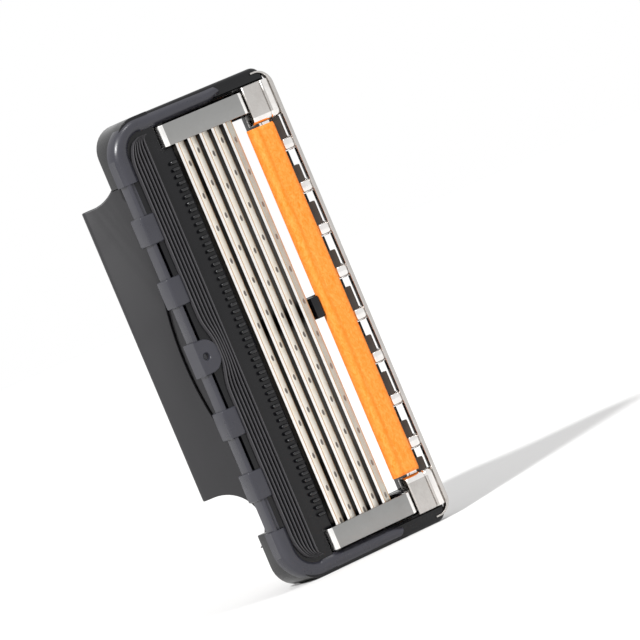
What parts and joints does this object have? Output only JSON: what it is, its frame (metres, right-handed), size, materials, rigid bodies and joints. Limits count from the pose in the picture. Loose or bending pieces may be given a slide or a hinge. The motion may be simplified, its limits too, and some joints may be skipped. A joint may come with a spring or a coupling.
{
  "type": "razor cartridge",
  "caption": "Multi-blade razor cartridge with sprung blades, guard fins, comb, lubrication strip, silver cap frame and a pivoting handle socket.",
  "frame": {"origin": "centre of the lower end face, half way through the housing's width and depth", "axes": "+X from guard to cap across the blades, +Y from the shaving face to the back, +Z along the blades; the cartridge stands on its lower end face"},
  "size_m": [0.0181, 0.0125, 0.042],
  "materials": {
    "housing_black": "glossy moulded black",
    "elastomer_grey": "satin moulded elastomer",
    "clip_metal": "satin rolled aluminium",
    "cap_silver": "bright metallised plastic",
    "strip_orange": "waxy, slightly mottled",
    "blade_steel": "ground and coated edge",
    "support_steel": "rolled strip with spot welds",
    "connector_grey": "satin moulded dark grey"
  },
  "bodies": {
    "connector_body": {"connector": "connector_grey"},
    "blade_unit": {"housing": "housing_black", "guard_elastomer": "elastomer_grey", "clip_lower": "clip_metal", "clip_upper": "clip_metal", "cap_frame": "cap_silver", "lubrication_strip": "strip_orange", "trimmer_carrier": "housing_black", "trimmer_blade": "blade_steel", "spring_fingers_1": "housing_black", "spring_fingers_2": "housing_black", "spring_fingers_3": "housing_black", "spring_fingers_4": "housing_black", "spring_fingers_5": "housing_black"},
    "blade_1_assembly": {"blade_1": "blade_steel", "blade_support_1": "support_steel"},
    "blade_2_assembly": {"blade_2": "blade_steel", "blade_support_2": "support_steel"},
    "blade_3_assembly": {"blade_3": "blade_steel", "blade_support_3": "support_steel"},
    "blade_4_assembly": {"blade_4": "blade_steel", "blade_support_4": "support_steel"},
    "blade_5_assembly": {"blade_5": "blade_steel", "blade_support_5": "support_steel"}
  },
  "joints": [
    {"name": "cartridge_pivot", "type": "hinge", "parent": "connector_body", "child": "blade_unit", "pos_m": [-0.005, 0.0008, 0.021], "axis": [0, 0, 1], "range_deg": [0, 40]},
    {"name": "blade_1_spring", "type": "slide", "parent": "blade_unit", "child": "blade_1_assembly", "axis": [0, 1, 0], "range_m": [0, 0.0003], "stiffness_N_per_m": 60, "springref_m": -0.0005, "deforming": ["spring_fingers_1"]},
    {"name": "blade_2_spring", "type": "slide", "parent": "blade_unit", "child": "blade_2_assembly", "axis": [0, 1, 0], "range_m": [0, 0.0003], "stiffness_N_per_m": 60, "springref_m": -0.0005, "deforming": ["spring_fingers_2"]},
    {"name": "blade_3_spring", "type": "slide", "parent": "blade_unit", "child": "blade_3_assembly", "axis": [0, 1, 0], "range_m": [0, 0.0003], "stiffness_N_per_m": 60, "springref_m": -0.0005, "deforming": ["spring_fingers_3"]},
    {"name": "blade_4_spring", "type": "slide", "parent": "blade_unit", "child": "blade_4_assembly", "axis": [0, 1, 0], "range_m": [0, 0.0003], "stiffness_N_per_m": 60, "springref_m": -0.0005, "deforming": ["spring_fingers_4"]},
    {"name": "blade_5_spring", "type": "slide", "parent": "blade_unit", "child": "blade_5_assembly", "axis": [0, 1, 0], "range_m": [0, 0.0003], "stiffness_N_per_m": 60, "springref_m": -0.0005, "deforming": ["spring_fingers_5"]}
  ]
}
